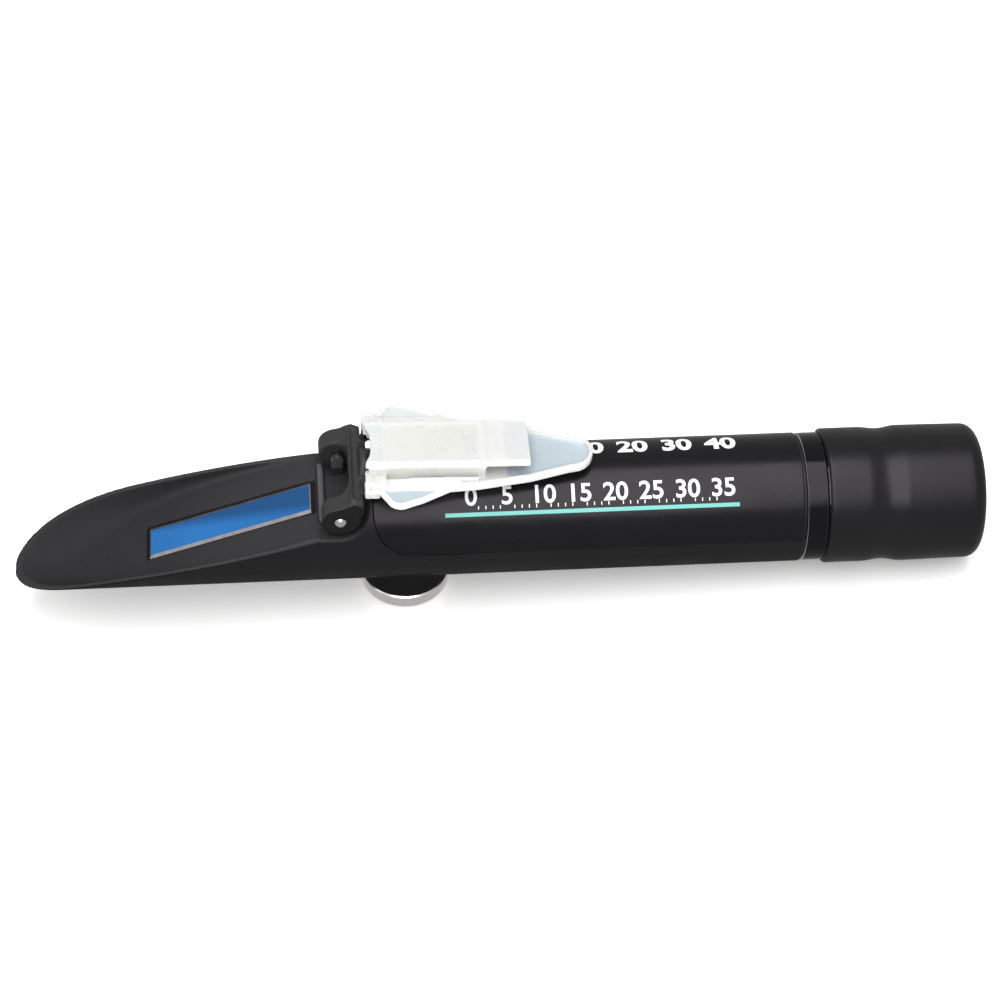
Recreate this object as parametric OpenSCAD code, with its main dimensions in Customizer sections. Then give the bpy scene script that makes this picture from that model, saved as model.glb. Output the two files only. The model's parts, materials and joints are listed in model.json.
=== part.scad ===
// Hand-held optical refractometer with automatic temperature compensation.
// Millimetres. +X runs along the optical axis towards the eyepiece, +Z is up from the
// prism face, and the origin is on the optical axis at the middle of the plain barrel.

/* [Barrel] */
// Outer radius of the barrel and nose
body_r = 13.5; // [11:0.1:17]
// Radius of the main bore that holds the optics
bore_r = 11.5; // [9:0.1:14]
// Rear end face of the barrel, measured from the origin
tube_end = 35.9; // [25:0.1:60]
// Depth of the label cover's recess
cover_t = 0.8; // [0.5:0.1:1.2]
// Gap all round the label cover, seen as a dark groove
cover_gap = 0.3; // [0.2:0.05:0.5]

/* [Nose and prism] */
// Slope of the prism face to the optical axis, in degrees
floor_angle = 20.65; // [15:0.05:28]
// Height of the sloping floor's plane under the hinge pin
floor_at_pin = 7.97; // [6:0.01:9]
// Slope of the straight part of the nose rim, in degrees
rim_angle = 13.06; // [8:0.01:18]
// Height of the rim where its curved part begins
rim_z = -2.9; // [-6:0.1:0]
// Radius of the curved part of the rim, seen from the side
rim_sweep_r = 90; // [60:1:140]
// Inner radius of the scooped nose
scoop_r = 12.5; // [11:0.1:13]
// Width of the prism's glass
prism_w = 8.2; // [6:0.1:10]
// Clearance slot around the prism
slot_gap = 0.4; // [0.2:0.05:0.8]

/* [Hinge] */
// Hinge pin axis, along the barrel
pin_x = -60.45; // [-65:0.05:-55]
// Hinge pin axis, above the optical axis
pin_z = 10.3; // [8:0.1:13]
// Radius of the bracket's round ears
ear_r = 3.8; // [3:0.1:5]
// Half width over the two ears
ear_y = 11.4; // [10:0.1:13]
// Link pin axis, along the barrel
link_x = -54.1; // [-57:0.05:-52]
// Link pin axis, above the optical axis
link_z = 16.5; // [14:0.1:18]

/* [Daylight plate] */
// Height of the contact pad with the plate laid open
pad_z = 21.6; // [18:0.1:23]
// Top of the plate's rim with the plate laid open
plate_z = 18.6; // [16:0.1:20]
// Half width over the finger wings
wing_y = 14.65; // [13:0.05:17]
// Far end of the plate, from the link pin
plate_len = 45.95; // [35:0.05:55]
// Lean of the open plate down towards the eyepiece, in degrees
plate_lean = 1.6; // [0:0.1:4]

/* [Calibration] */
// Knob axis along the barrel
knob_x = -46.6; // [-50:0.1:-40]
// Radius of the boss under the barrel
boss_r = 9.5; // [7:0.1:12]
// Bottom of the boss
boss_z = -16.7; // [-19:0.1:-15]
// Radius of the knob
knob_r = 9.2; // [6:0.1:12]
// Thickness of the knob
knob_t = 3.5; // [2:0.1:6]

/* [Eyepiece] */
// Radius of the glossy collar
collar_r = 13.4; // [12:0.05:14]
// Visible length of the glossy collar
collar_len = 4.6; // [3:0.1:8]
// Radius of the rubber sleeve's front flare
flare_r = 14.15; // [13:0.05:16]
// Radius of the rubber sleeve at its waist
waist_r = 13.75; // [12:0.05:15]
// Radius of the rubber sleeve's rear grip
grip_r = 14.3; // [13:0.05:16]
// Length of the rubber sleeve
sleeve_len = 33; // [28:0.1:45]
// Focus travel per turn of the sleeve
focus_lead = 3; // [1:0.5:6]

/* [Hidden] */
$fn = 96;
eps = 0.02;
floor_t = tan(floor_angle);
rim_x = -103;
rim_cx = rim_x + rim_sweep_r * sin(rim_angle);
rim_cz = rim_z - rim_sweep_r * cos(rim_angle);
tip_x = rim_cx - sqrt(pow(rim_sweep_r, 2) - pow(-body_r - rim_cz, 2)) + 0.2;
saddle_x = -64.6;
prism_x0 = -100.1;
prism_x1 = -66.2;
prism_bottom = -8.5;
cover_x0 = -53.7;
cover_z = 1.4;
cover_corner = 9.1;
stripe_a = 46;
lens_r = 5.4;
cell_x = -22;
reticle_x = 8;
sleeve_x0 = tube_end + collar_len + 0.3;
sleeve_x1 = sleeve_x0 + sleeve_len;
guide_r = 10.9;
ocular_r = 9.05;
pin_r = 0.9;
link_r = 0.7;

function floor_z(x) = floor_at_pin + floor_t * (x - pin_x);
function arc(cx, cy, r, a0, a1, n) = [for (i = [0:n]) let (a = a0 + (a1 - a0) * i / n)
  [cx + r * cos(a), cy + r * sin(a)]];

module tube(x0, x1, ro, ri) {
  translate([x0, 0, 0]) rotate([0, 90, 0]) difference() {
    cylinder(r = ro, h = x1 - x0);
    translate([0, 0, -1]) cylinder(r = ri, h = x1 - x0 + 2);
  }
}

module rod(x0, x1, r, fn = 96) {
  translate([x0, 0, 0]) rotate([0, 90, 0]) cylinder(r = r, h = x1 - x0, $fn = fn);
}

// A side-view outline (x, z) carried across the width from y0 to y1.
module across(y0, y1) {
  translate([0, y1, 0]) rotate([90, 0, 0]) linear_extrude(y1 - y0) children();
}

module both_sides() {
  children();
  mirror([0, 1, 0]) children();
}

// Biconvex lens between two planes x0 and x1, radius r, each face standing out by bulge.
module lens(x0, x1, r, bulge) {
  s = (r * r + bulge * bulge) / (2 * bulge);
  t = asin(r / s);
  rotate([0, 90, 0]) rotate_extrude() polygon(concat(
    [for (i = [0:12]) [s * sin(t * i / 12), x0 + s - s * cos(t * i / 12)]],
    [for (i = [12:-1:0]) [s * sin(t * i / 12), x1 - s + s * cos(t * i / 12)]]));
}

module cover_outline(grow) {
  difference() {
    translate([cover_x0 - grow, cover_z - grow]) square([tube_end - cover_x0 + 2 * grow + 1, 30]);
    translate([cover_x0 - grow - 1, cover_z - grow - 1])
      square([cover_corner + 1, cover_corner + 1]);
  }
  intersection() {
    translate([cover_x0 + cover_corner - grow, cover_z + cover_corner - grow]) circle(r = cover_corner);
    translate([cover_x0 - grow, cover_z - grow]) square([cover_corner + eps, cover_corner + eps]);
  }
}

module stripe_block(grow) {
  rotate([90 - stripe_a, 0, 0]) translate([-39 - grow, -0.6 - grow, body_r - 0.3 - grow])
    cube([60.8 + 2 * grow, 1.2 + 2 * grow, 2]);
}

module above_rim() {
  difference() {
    translate([-140, -20]) square([140 + rim_x + eps, 60]);
    translate([rim_cx, rim_cz]) circle(r = rim_sweep_r, $fn = 360);
  }
  polygon([[rim_x, rim_z], [saddle_x, rim_z + tan(rim_angle) * (saddle_x - rim_x)],
    [saddle_x, 40], [rim_x, 40]]);
}

module scoop_profile() {
  translate([-10.9, 0]) square([21.8, 30]);
  for (s = [-1, 1]) translate([s * 10.9, 3]) circle(r = 3);
  translate([-13.9, 3]) square([27.8, 30]);
}

module scoop() {
  intersection() {
    rod(-150, saddle_x + 0.4, scoop_r);
    translate([pin_x, 0, floor_at_pin]) rotate([0, -floor_angle, 0]) translate([-90, 0, 0])
      rotate([90, 0, 90]) linear_extrude(110) scoop_profile();
  }
}

module saddle_outline() {
  translate([-60.5, 11.6]) circle(r = 5.85);
  translate([-60.5 - 5.85, 11.6]) square([11.7, 10]);
  translate([saddle_x, 5.75]) square([-60.5 - saddle_x, 16]);
}

module housing() {
  color([0.07, 0.07, 0.08]) {
    difference() {
      union() {
        rod(tip_x, tube_end, body_r);
        translate([knob_x, 0, boss_z]) cylinder(r = boss_r, h = 10);
      }
      across(-20, 20) above_rim();
      scoop();
      across(-20, 20) saddle_outline();
      // pocket that takes the prism and the tunnel behind it
      translate([prism_x0 - 0.6, -prism_w / 2 - slot_gap, prism_bottom - 0.4])
        cube([prism_x1 - prism_x0 + 1.5, prism_w + 2 * slot_gap, 20]);
      rod(prism_x1, -50, 4.4);
      rod(-53, tube_end + 1, bore_r);
      // recess for the label cover, with the groove round it
      intersection() {
        tube(cover_x0 - 1, tube_end + 1, body_r + 1, body_r - cover_t - 0.05);
        across(-20, 20) cover_outline(cover_gap);
      }
      // screw hole, seal recess and guide pin holes in the knob's boss
      translate([knob_x, 0, boss_z - 1]) cylinder(r = 2.1, h = 12);
      translate([knob_x, 0, boss_z - 1]) cylinder(r = 6.2, h = 2.9);
      for (s = [-1, 1]) translate([knob_x, s * 4.6, -12.4]) cylinder(r = 0.75, h = 5);
      translate([tube_end - 0.35, 0, 0]) rotate([0, 90, 0]) difference() {
        cylinder(r = body_r + 2, h = 2);
        cylinder(r1 = body_r, r2 = body_r - 2, h = 2);
      }
    }
    // lugs that hold the hinge pins
    both_sides() difference() {
      across(5.3, 6.6) {
        translate([pin_x, pin_z]) circle(r = 2.1);
        translate([pin_x - 2.1, 5]) square([4.2, pin_z - 5]);
      }
      across(5.8, 7) translate([pin_x, pin_z]) circle(r = pin_r);
    }
    // small moulding nub on the front side
    translate([-43.7, -13.35, 0]) sphere(r = 0.4);
  }
}

module label_cover() {
  color([0.05, 0.05, 0.06]) difference() {
    intersection() {
      tube(cover_x0 - 1, tube_end - 0.45, body_r, body_r - cover_t);
      across(-20, 20) cover_outline(0);
    }
    stripe_block(0);
  }
}

module accent_stripe() {
  color([0.35, 0.8, 0.75]) intersection() {
    rod(-45, 30, body_r, 720);
    stripe_block(0);
  }
}

module prism_outline() {
  polygon([[prism_x0, prism_bottom], [prism_x0, floor_z(prism_x0) - 0.05],
    [prism_x1, floor_z(prism_x1) - 0.05], [prism_x1, prism_bottom]]);
}

module prism() {
  color([0.1, 0.35, 0.8]) across(-prism_w / 2, prism_w / 2) prism_outline();
}

module prism_gasket() {
  color([0.1, 0.1, 0.1]) difference() {
    intersection() {
      translate([prism_x0 - 0.6, -prism_w / 2 - slot_gap, -20])
        cube([prism_x1 - prism_x0 + 1.5, prism_w + 2 * slot_gap, 40]);
      across(-10, 10) polygon([[-110, floor_z(-110) - 2.8], [-110, floor_z(-110) - 0.5],
        [-60, floor_z(-60) - 0.5], [-60, floor_z(-60) - 2.8]]);
      translate([-150, -10, prism_bottom]) cube([100, 20, 40]);
    }
    across(-prism_w / 2, prism_w / 2) prism_outline();
  }
}

module prism_bed() {
  color([0.15, 0.15, 0.15]) translate([prism_x0, -prism_w / 2, prism_bottom - 0.4])
    cube([prism_x1 - prism_x0, prism_w, 0.4]);
}

module hinge_pins() {
  color([0.8, 0.8, 0.82]) both_sides() translate([pin_x, 0, pin_z]) {
    translate([0, 5.8, 0]) rotate([-90, 0, 0]) cylinder(r = pin_r, h = ear_y + 0.2 - 5.8);
    translate([0, ear_y - 0.7, 0]) intersection() {
      sphere(r = 1.5);
      translate([-3, 0.8, -3]) cube([6, 6, 6]);
    }
  }
}

module light_stop() {
  color([0.1, 0.1, 0.1]) tube(-53, -52, bore_r, 4.2);
}

module guide_pins() {
  color([0.75, 0.75, 0.78]) for (s = [-1, 1]) translate([knob_x, s * 4.6, -12.4])
    cylinder(r = 0.75, h = 6.6);
}

module reticle_holder() {
  color([0.12, 0.12, 0.13]) difference() {
    rod(reticle_x, reticle_x + 8, bore_r);
    rod(reticle_x - 1, reticle_x + 9, 8);
    rod(reticle_x + 2, reticle_x + 9, 9.5);
  }
}

module reticle_glass() {
  color([0.75, 0.85, 0.9, 0.5]) rod(reticle_x + 2, reticle_x + 3.6, 9.5);
}

module reticle_ring() {
  color([0.12, 0.12, 0.13]) tube(reticle_x + 3.6, reticle_x + 5.2, 9.5, 8);
}

// Collar with its spigot into the barrel and the guide tube under the sleeve.
module collar() {
  x0 = tube_end;
  x1 = tube_end + collar_len;
  color([0.03, 0.03, 0.03]) difference() {
    rotate([0, 90, 0]) rotate_extrude() polygon([[ocular_r + 0.05, x0 - 11], [bore_r, x0 - 11],
      [bore_r, x0 - 6.5], [bore_r - 1, x0 - 6.5], [bore_r - 1, x0 - 4.5], [bore_r, x0 - 4.5],
      [bore_r, x0], [collar_r - 0.3, x0], [collar_r, x0 + 0.3], [collar_r, x1 - 0.3],
      [collar_r - 0.3, x1], [guide_r, x1], [guide_r, x1 + 19.5], [guide_r - 0.9, x1 + 19.5],
      [guide_r - 0.9, x1 + 20.7], [ocular_r + 0.05, x1 + 20.7]]);
    // straight key slot that the drive pin slides in
    translate([x1 + 6.4, -1.08, 0]) cube([4.4, 2.16, 20]);
  }
}

module collar_o_ring() {
  color([0.05, 0.05, 0.05]) tube(tube_end - 6.4, tube_end - 4.6, bore_r, bore_r - 1);
}

module sleeve_retainer() {
  x1 = tube_end + collar_len;
  color([0.6, 0.6, 0.62]) tube(x1 + 19.5, x1 + 20.7, guide_r + 0.7, guide_r - 0.9);
}

module bracket_arm() {
  translate([pin_x, pin_z]) circle(r = ear_r);
  polygon([[pin_x, pin_z], [pin_x + 2.6, pin_z - 2.6], [-56.2, 9.6], [-56.2, 14.4],
    [-57.4, 15.2], [pin_x, pin_z + ear_r]]);
}

module hinge_bracket() {
  color([0.12, 0.12, 0.13]) difference() {
    union() {
      both_sides() across(6.9, ear_y) bracket_arm();
      across(-10.2, 10.2) polygon([[-58.3, 13.0], [-56.0, 12.6], [-55.9, 15.3], [-58.3, 16.0]]);
      across(-8, 8) polygon([[-56.2, 14.1], [-54.9, 14.2], [-54.7, 15.2], [-56.2, 15.2]]);
      // round tab that stands up in front of the plate's root
      intersection() {
        across(-5, 5) polygon([[-56.2, 14.1], [-55.2, 14.2], [-54.5, 16.4], [-54.7, 19], [-55.4, 19],
          [-56.2, 16.2]]);
        translate([0, 0, 13]) rod(-57, -54, 4.8);
      }
      both_sides() across(6.4, 8) {
        translate([link_x, link_z]) circle(r = 1.35);
        polygon([[link_x - 1.9, 14.2], [link_x - 0.2, 14.9], [link_x - 0.2, link_z + 1],
          [link_x - 1.9, 15.3]]);
      }
    }
    across(-20, 20) translate([pin_x, pin_z]) circle(r = pin_r + 0.05);
    both_sides() across(6, 9) translate([link_x, link_z]) circle(r = link_r);
  }
}

module link_pins() {
  color([0.8, 0.8, 0.82]) both_sides() across(6.4, 9) translate([link_x, link_z])
    circle(r = link_r);
}

tip_px = link_x + plate_len;

// Plan outline of the plate without its wings, drawn in by the given wall.
module plate_tray(inset) {
  x0 = link_x - 1.2 + inset;
  xe = tip_px - 4.6;
  far = [[x0, 9.4 - inset], [link_x + 16.4, 9.4 - inset], [link_x + 22.1, 8.9 - inset],
    [link_x + 32.6, 7.1 - inset], [xe - 0.6, 4.75 - inset * 1.05], each arc(xe, 0, 4.6 - inset, 72, 0, 6)];
  near = [for (i = [len(far) - 2:-1:0]) [far[i][0], -far[i][1]]];
  polygon(concat(far, near));
}

module plate_wings(inset) {
  x0 = link_x + 1.4 + inset;
  for (s = [-1, 1]) polygon([for (p = [[x0, 8], [x0, 10.4 - inset],
    each arc(link_x + 5.8, wing_y - 3, 3 - inset, 155, 62, 6), [link_x + 10.6 - inset, 13 - inset],
    [link_x + 16.6 - inset, 9.9 - inset * 0.8], [link_x + 18.6 - inset, 8.9], [link_x + 18.6 - inset, 8]])
    [p[0], s * p[1]]]);
}

module daylight_plate() {
  web = plate_z - 2.2;
  color([0.92, 0.94, 0.96, 0.6])
  translate([link_x, 0, link_z]) rotate([0, plate_lean, 0]) translate([-link_x, 0, -link_z]) difference() {
    union() {
      // tray with a thin floor and a standing wall
      difference() {
        translate([0, 0, web]) linear_extrude(plate_z - web) plate_tray(0);
        translate([0, 0, web + 0.8]) linear_extrude(10) plate_tray(0.8);
        // the root end is open so that it clears the bracket and its tab
        translate([link_x - 3, -8.2, web - 1]) cube([5.2, 16.4, 6]);
      }
      // finger wings with a raised border
      difference() {
        translate([0, 0, plate_z - 1.3]) linear_extrude(1.3) plate_wings(0);
        translate([0, 0, plate_z - 0.5]) linear_extrude(2) difference() {
          plate_wings(1.1);
          square([400, 20], center = true);
        }
      }
      // root blocks that turn on the link pins, each under a corner flange
      both_sides() translate([link_x - 1.2, 8.2, link_z - 1.2]) cube([3.1, 1.5, plate_z - link_z + 1.2]);
      both_sides() translate([link_x - 1.2, 8.2, plate_z - 0.6]) cube([2.7, 2.8, 1.0]);
      // contact pad: two side walls, an end wall and the top face with a notched root
      both_sides() translate([link_x + 2.2, 5, web + 0.4]) cube([21.2, 1.0, pad_z - web - 0.4]);
      translate([link_x + 22.4, -6, web + 0.4]) cube([1.0, 12, pad_z - web - 0.4]);
      translate([link_x + 0.2, -6, pad_z - 1.4]) cube([32.3, 12, 1.4]);
      both_sides() translate([link_x - 0.9, 5, pad_z - 1.4]) cube([4, 1.0, 1.4]);
      both_sides() translate([link_x - 0.3, 5, plate_z - 1.3]) cube([3, 1.0, pad_z - plate_z + 1.3]);
      both_sides() translate([link_x - 0.3, 5.2, plate_z - 0.3]) cube([3.5, 4.2, 0.8]);
      both_sides() translate([link_x + 8, 6.8, web + 0.4]) cube([14, 0.8, plate_z - web - 0.4]);
    }
    both_sides() across(8, 9.05) translate([link_x, link_z]) circle(r = link_r + 0.05);
    // knuckle clearance beside the root blocks
    both_sides() across(6.1, 8.2) {
      translate([link_x, link_z]) circle(r = 1.7);
      translate([link_x - 4, link_z - 4]) square([4 + 1.7, 4]);
    }
    both_sides() translate([link_x + 0.1, 10, plate_z - 0.1]) cylinder(r = 0.4, h = 3);
  }
}

module calibration_knob() {
  z1 = boss_z - 0.3;
  color([0.8, 0.8, 0.82]) translate([knob_x, 0, 0]) difference() {
    union() {
      rotate_extrude() polygon([[0, z1 - knob_t], [knob_r - 0.5, z1 - knob_t], [knob_r, z1 - knob_t + 0.5],
        [knob_r, z1 - 0.4], [knob_r - 0.4, z1], [3.6, z1], [3.6, z1 + 1.6], [0, z1 + 1.6]]);
    }
    translate([-7, -0.8, z1 - knob_t - 1]) cube([14, 1.6, 2.2]);
    translate([0, 0, z1 - 1]) cylinder(r = 1.8, h = 5);
  }
}

module calibration_screw() {
  color([0.8, 0.75, 0.5]) translate([knob_x, 0, 0]) difference() {
    translate([0, 0, boss_z - 1.3]) cylinder(r = 1.8, h = 10.2);
    translate([0, 0, -10.5]) difference() {
      cylinder(r = 3, h = 0.7);
      cylinder(r = 1.4, h = 0.7);
    }
  }
}

module knob_o_ring() {
  color([0.05, 0.05, 0.05]) translate([knob_x, 0, boss_z + 0.65]) rotate_extrude()
    translate([4.5, 0]) circle(r = 0.9, $fn = 32);
}

module screw_clip() {
  color([0.7, 0.7, 0.72]) translate([knob_x, 0, -10.5]) difference() {
    cylinder(r = 3, h = 0.7);
    translate([0, 0, -1]) cylinder(r = 1.4, h = 3);
    translate([0, -0.9, -1]) cube([5, 1.8, 3]);
  }
}

module calibration_carrier() {
  color([0.75, 0.7, 0.45]) difference() {
    translate([knob_x - 4.2, -6, -9.3]) cube([8.4, 12, 2.3]);
    translate([knob_x, 0, -12]) cylinder(r = 1.85, h = 8);
    for (s = [-1, 1]) translate([knob_x, s * 4.6, -12]) cylinder(r = 0.8, h = 8);
    for (s = [-1, 1]) translate([knob_x + 3.2, s * 2, -9]) cylinder(r = 0.5, h = 4);
  }
}

module bimetal_strip() {
  color([0.75, 0.6, 0.45]) difference() {
    translate([knob_x + 2.2, -3, -7]) cube([cell_x + 8 - knob_x - 2.2, 6, 0.8]);
    for (s = [-1, 1]) translate([knob_x + 3.2, s * 2, -9]) cylinder(r = 0.5, h = 4);
    for (s = [-1, 1]) translate([cell_x + 6.6, s * 2, -9]) cylinder(r = 0.5, h = 4);
  }
}

module strip_screws() {
  color([0.75, 0.75, 0.78]) {
    for (s = [-1, 1]) translate([knob_x + 3.2, s * 2, 0]) {
      translate([0, 0, -9]) cylinder(r = 0.5, h = 3);
      translate([0, 0, -6.2]) cylinder(r = 0.85, h = 0.6);
    }
    for (s = [-1, 1]) translate([cell_x + 6.6, s * 2, 0]) {
      translate([0, 0, -7]) cylinder(r = 0.5, h = 1.2);
      translate([0, 0, -7.6]) cylinder(r = 0.85, h = 0.6);
    }
  }
}

module objective_cell() {
  color([0.15, 0.15, 0.16]) difference() {
    rod(cell_x, cell_x + 8, 8.6);
    rod(cell_x - 1, cell_x + 9, 4.6);
    rod(cell_x + 1.5, cell_x + 9, lens_r);
    translate([cell_x - 1, -10, -16.2]) cube([10, 20, 10]);
    for (s = [-1, 1]) translate([cell_x + 6.6, s * 2, -7]) cylinder(r = 0.5, h = 1.2);
  }
}

module objective_lens() {
  color([0.8, 0.88, 0.95, 0.5]) lens(cell_x + 1.5, cell_x + 5, lens_r, 1.0);
}

module objective_ring() {
  color([0.15, 0.15, 0.16]) tube(cell_x + 5, cell_x + 6.4, lens_r, 4.4);
}

// Turning ring inside the rubber sleeve, with the helical groove that moves the lenses.
module focus_ring() {
  x1 = tube_end + collar_len;
  xr = sleeve_x1 - 4.5;
  color([0.1, 0.1, 0.1]) difference() {
    rod(sleeve_x0, xr, 12.4);
    rod(sleeve_x0 - 1, x1 + 19.3, guide_r + 0.05);
    rod(x1 + 19.2, xr - 2.5, guide_r + 1);
    rod(sleeve_x0, sleeve_x1, 9.4);
    for (a = [-60:5:60]) rotate([a, 0, 0]) translate([x1 + 8.6 - focus_lead * a / 360, 0, 9])
      cylinder(r = 1.2, h = 3.1, $fn = 32);
  }
}

function blend(x, x0, x1, r0, r1) = r0 + (r1 - r0) * (1 - cos(180 * (x - x0) / (x1 - x0))) / 2;

module rubber_eyecup() {
  a = sleeve_x0;
  b = sleeve_x1;
  color([0.09, 0.09, 0.09]) rotate([0, 90, 0]) rotate_extrude() polygon([
    [12.4, a], [flare_r - 0.5, a], [flare_r, a + 0.6], [flare_r, a + 8],
    for (i = [1:6]) [blend(i, 0, 6, flare_r, waist_r), a + 8 + 4.4 * i / 6],
    for (i = [1:6]) [blend(i, 0, 6, waist_r, grip_r), a + 12.4 + 4.2 * i / 6],
    [grip_r, a + 18], [grip_r - 0.15, b - 3.8],
    each [for (p = arc(b - 3, grip_r - 3.15, 3, 82, 0, 8)) [p[1], p[0]]],
    [10, b], [10, b - 4.5], [12.4, b - 4.5]]);
}

module ocular_cell() {
  x1 = tube_end + collar_len;
  color([0.12, 0.12, 0.13]) difference() {
    rod(x1 - 3, x1 + 23, ocular_r);
    rod(x1 - 4, x1 + 24, 6.6);
    rod(x1 - 2, x1 + 24, 7.8);
    translate([x1 + 8.6, 0, 7.8 - 1]) cylinder(r = 1, h = 5);
  }
}

module field_lens() {
  x1 = tube_end + collar_len;
  color([0.8, 0.88, 0.95, 0.5]) lens(x1 - 2, x1 + 2, 7.8, 1.3);
}

module lens_spacer() {
  x1 = tube_end + collar_len;
  color([0.12, 0.12, 0.13]) tube(x1 + 2, x1 + 16.5, 7.8, 7.0);
}

module eye_lens() {
  x1 = tube_end + collar_len;
  color([0.8, 0.88, 0.95, 0.5]) lens(x1 + 16.5, x1 + 21.5, 7.8, 1.8);
}

module ocular_ring() {
  x1 = tube_end + collar_len;
  color([0.12, 0.12, 0.13]) tube(x1 + 21.5, x1 + 23, 7.8, 6.6);
}

module drive_pin() {
  x1 = tube_end + collar_len;
  color([0.75, 0.75, 0.78]) translate([x1 + 8.6, 0, 7.85]) cylinder(r = 1, h = 3.9);
}

housing();
label_cover();
accent_stripe();
prism();
prism_gasket();
prism_bed();
hinge_pins();
light_stop();
guide_pins();
reticle_holder();
reticle_glass();
reticle_ring();
collar();
collar_o_ring();
sleeve_retainer();
hinge_bracket();
link_pins();
daylight_plate();
calibration_knob();
calibration_screw();
knob_o_ring();
screw_clip();
calibration_carrier();
bimetal_strip();
strip_screws();
objective_cell();
objective_lens();
objective_ring();
focus_ring();
rubber_eyecup();
ocular_cell();
field_lens();
lens_spacer();
eye_lens();
ocular_ring();
drive_pin();
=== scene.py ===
import json
import math

import bmesh
import bpy
import numpy as np
from mathutils import Matrix, Vector


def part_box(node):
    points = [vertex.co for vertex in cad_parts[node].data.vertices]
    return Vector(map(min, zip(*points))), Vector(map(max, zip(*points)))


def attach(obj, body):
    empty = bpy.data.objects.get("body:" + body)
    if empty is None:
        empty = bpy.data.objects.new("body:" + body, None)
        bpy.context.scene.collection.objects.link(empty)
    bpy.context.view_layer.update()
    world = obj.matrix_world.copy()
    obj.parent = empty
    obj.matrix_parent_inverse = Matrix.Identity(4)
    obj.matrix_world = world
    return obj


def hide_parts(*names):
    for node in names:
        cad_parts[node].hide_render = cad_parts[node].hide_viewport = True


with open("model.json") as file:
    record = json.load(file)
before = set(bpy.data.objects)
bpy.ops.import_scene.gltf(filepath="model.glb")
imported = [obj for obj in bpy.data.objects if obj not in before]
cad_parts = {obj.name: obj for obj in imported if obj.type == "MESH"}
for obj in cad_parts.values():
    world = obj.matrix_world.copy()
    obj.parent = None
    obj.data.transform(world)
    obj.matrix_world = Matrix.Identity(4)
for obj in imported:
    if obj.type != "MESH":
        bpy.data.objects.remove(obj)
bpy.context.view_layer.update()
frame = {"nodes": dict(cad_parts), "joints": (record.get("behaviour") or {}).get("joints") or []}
MM = 0.001


# ---------------------------------------------------------------- sizes, in millimetres, read off the frame
def mm(node):
    lo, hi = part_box(node)
    return np.array(lo) / MM, np.array(hi) / MM


JOINT = {j["name"]: j for j in frame["joints"]}
PIN_X, _, PIN_Z = [v / MM for v in JOINT["bracket_hinge"]["pos_m"]]
LINK_X, _, LINK_Z = [v / MM for v in JOINT["plate_link"]["pos_m"]]
KNOB_X = JOINT["knob_turn"]["pos_m"][0] / MM
COVER = mm("label_cover")
PRISM = mm("prism")
CUP = mm("rubber_eyecup")
TUBE_END = float(mm("housing")[1][0])
BODY = 13.5  # radius of the barrel
BORE_R, BORE_X = 11.5, -53  # inside of the barrel, and where it starts
LIGHT_R, LIGHT_X = 4.4, -66.2  # passage from the prism into the barrel
SCOOP_R = 12.5  # inside of the nose
BOSS_R, BOSS_Z = 9.5, -16.7  # boss that the knob turns under
# the sloping floor's angle, and its height at the hinge pin
FLOOR_A = math.radians(20.65)
FLOOR_AT_PIN = 7.97
# the nose's rim is straight down to (RIM_X, RIM_Z), and an arc of radius RIM_R from there on
RIM_A = math.radians(13.06)
RIM_X, RIM_Z, RIM_R = -103.0, -2.9, 90.0
RIM_CX = RIM_X + RIM_R * math.sin(RIM_A)
RIM_CZ = RIM_Z - RIM_R * math.cos(RIM_A)
SADDLE_X = -64.6  # end of the sloping floor, at the hinge's saddle
# lugs that hold the hinge pins: radius, middle and half width
LUG_R, LUG_Y, LUG_HALF = 1.3, 6.15, 0.65
# the bracket's round ears: radius, inner and outer side
EAR_R, EAR_IN, EAR_OUT = 3.8, 7.2, 11.4
PLATE_LEAN = math.radians(1.6)


def floor_z(x):
    return FLOOR_AT_PIN + math.tan(FLOOR_A) * (x - PIN_X)


# ---------------------------------------------------------------- distance fields
def smax(a, b, k):
    h = np.maximum(k - np.abs(a - b), 0) / k
    return np.maximum(a, b) + h * h * k * 0.25


def smin(a, b, k):
    return -smax(-a, -b, k)


def box(x, y, z, lo, hi):
    qx = np.abs(x - (lo[0] + hi[0]) / 2) - (hi[0] - lo[0]) / 2
    qy = np.abs(y - (lo[1] + hi[1]) / 2) - (hi[1] - lo[1]) / 2
    qz = np.abs(z - (lo[2] + hi[2]) / 2) - (hi[2] - lo[2]) / 2
    out = np.sqrt(np.maximum(qx, 0) ** 2 + np.maximum(qy, 0) ** 2 + np.maximum(qz, 0) ** 2)
    return out + np.minimum(np.maximum(qx, np.maximum(qy, qz)), 0)


def poly(u, v, pts):
    """Signed distance to a closed polygon, negative inside."""
    best = np.full(np.shape(u), 1e9)
    inside = np.zeros(np.shape(u), bool)
    for (ax, ay), (bx, by) in zip(pts, pts[1:] + pts[:1]):
        ex, ey = bx - ax, by - ay
        t = np.clip(((u - ax) * ex + (v - ay) * ey) / (ex * ex + ey * ey), 0, 1)
        best = np.minimum(best, (u - ax - t * ex) ** 2 + (v - ay - t * ey) ** 2)
        if ay != by:
            side = (v < ay) != (v < by)
            inside ^= side & (u < ax + (v - ay) / (by - ay) * ex)
    return np.where(inside, -1, 1) * np.sqrt(best)


def slab(v, lo, hi):
    return np.abs(v - (lo + hi) / 2) - (hi - lo) / 2


def arc(cx, cy, r, a0, a1, n):
    t = np.radians(np.linspace(a0, a1, n + 1))
    return [(float(cx + r * math.cos(a)), float(cy + r * math.sin(a))) for a in t]


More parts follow.
